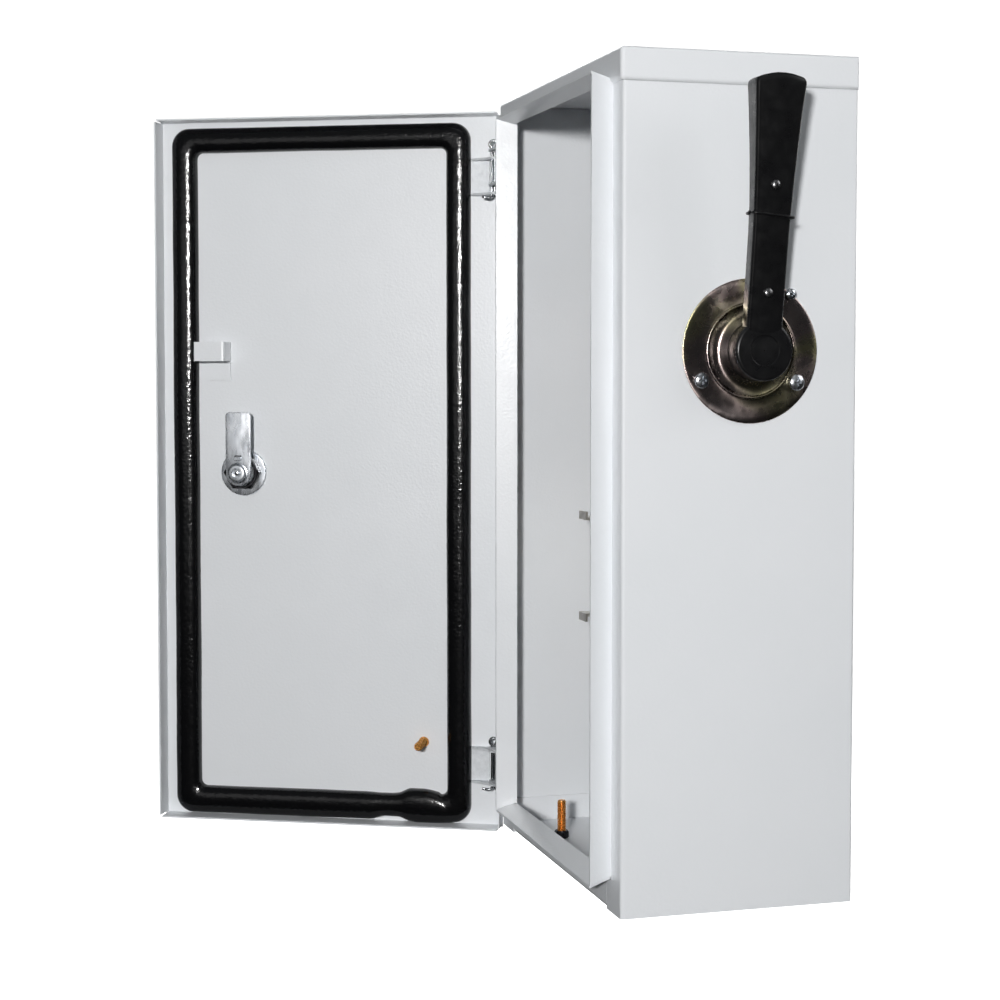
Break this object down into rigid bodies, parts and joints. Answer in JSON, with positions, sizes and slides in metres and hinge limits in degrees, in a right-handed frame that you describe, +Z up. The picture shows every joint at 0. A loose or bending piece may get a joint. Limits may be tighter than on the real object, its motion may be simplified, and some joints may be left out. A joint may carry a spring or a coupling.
{
  "type": "switch-fuse disconnect box",
  "caption": "Wall-mounted sheet-steel disconnect box with hinged sealed door, cam lock, side lever handle, rotary knife switch and pull-out fuse links.",
  "frame": {"origin": "centre of the rear (wall) face", "axes": "+Z up, the door side faces -Y, +X towards the handle side"},
  "size_m": [0.4043, 0.3746, 0.5045],
  "materials": {
    "case_paint": "light grey powder coat with fine orange peel",
    "gasket": "glossy black foamed sealing strip",
    "zinc": "bright zinc plating",
    "chromate": "yellow-chromated zinc, slightly iridescent",
    "dark_steel": "oxidised dark steel",
    "copper": "copper-plated thread",
    "rubber": "matt black rubber",
    "board": "brown laminate",
    "tinned": "tinned copper",
    "ceramic": "glazed ceramic",
    "handle_black": "moulded black plastic with a satin gloss"
  },
  "bodies": {
    "case": {"box_body": "case_paint", "roof_cap": "case_paint", "bottom_tray": "case_paint", "hinge_bracket_box_upper": "zinc", "hinge_bracket_box_lower": "zinc", "hinge_pin_upper": "zinc", "hinge_pin_lower": "zinc", "floor_earth_nut": "dark_steel", "floor_earth_stud": "copper", "cable_grommet_top": "rubber", "cable_grommet_bottom": "rubber", "handle_plate": "chromate", "plate_screw_front": "zinc", "plate_screw_rear": "zinc", "plate_screw_top": "zinc", "stop_screw": "zinc", "shaft_bush": "dark_steel", "mounting_rail_upper": "zinc", "mounting_rail_lower": "zinc", "insulating_board": "board", "board_screw_1": "zinc", "board_screw_2": "zinc", "board_screw_3": "zinc", "board_screw_4": "zinc", "line_contact_1": "tinned", "line_contact_2": "tinned", "line_contact_3": "tinned", "link_contact_1": "tinned", "link_contact_2": "tinned", "link_contact_3": "tinned", "load_contact_1": "tinned", "load_contact_2": "tinned", "load_contact_3": "tinned"},
    "door": {"door_pan": "case_paint", "gasket": "gasket", "door_earth_stud": "copper", "door_hook": "case_paint", "hinge_bracket_door_upper": "zinc", "hinge_bracket_door_lower": "zinc", "lock_body": "zinc", "lock_washer": "zinc", "lock_nut": "dark_steel"},
    "lock": {"lock_core": "zinc", "lock_cam": "zinc", "cam_screw": "zinc"},
    "switch": {"switch_shaft": "zinc", "rotor": "board", "interlock_arm": "zinc", "handle_lever": "handle_black", "handle_rivet_upper": "dark_steel", "handle_rivet_lower": "dark_steel", "switch_blade_1": "tinned", "switch_blade_2": "tinned", "switch_blade_3": "tinned"},
    "fuse_link_1": {"fuse_body_1": "ceramic", "fuse_conductor_1": "tinned"},
    "fuse_link_2": {"fuse_body_2": "ceramic", "fuse_conductor_2": "tinned"},
    "fuse_link_3": {"fuse_body_3": "ceramic", "fuse_conductor_3": "tinned"}
  },
  "joints": [
    {"name": "door_hinge", "type": "hinge", "parent": "case", "child": "door", "pos_m": [-0.1185, -0.1545, 0], "axis": [0, 0, 1], "range_deg": [0, 115.8]},
    {"name": "lock_turn", "type": "hinge", "parent": "door", "child": "lock", "pos_m": [-0.20752, -0.31384, -0.0053], "axis": [0.9003, -0.4352, 0], "range_deg": [0, 90]},
    {"name": "switch_turn", "type": "hinge", "parent": "case", "child": "switch", "pos_m": [0, -0.068, 0.078], "axis": [1, 0, 0], "range_deg": [0, 90]},
    {"name": "fuse_1_pull", "type": "slide", "parent": "case", "child": "fuse_link_1", "axis": [0, -1, 0], "range_m": [0, 0.034]},
    {"name": "fuse_2_pull", "type": "slide", "parent": "case", "child": "fuse_link_2", "axis": [0, -1, 0], "range_m": [0, 0.034]},
    {"name": "fuse_3_pull", "type": "slide", "parent": "case", "child": "fuse_link_3", "axis": [0, -1, 0], "range_m": [0, 0.034]}
  ]
}
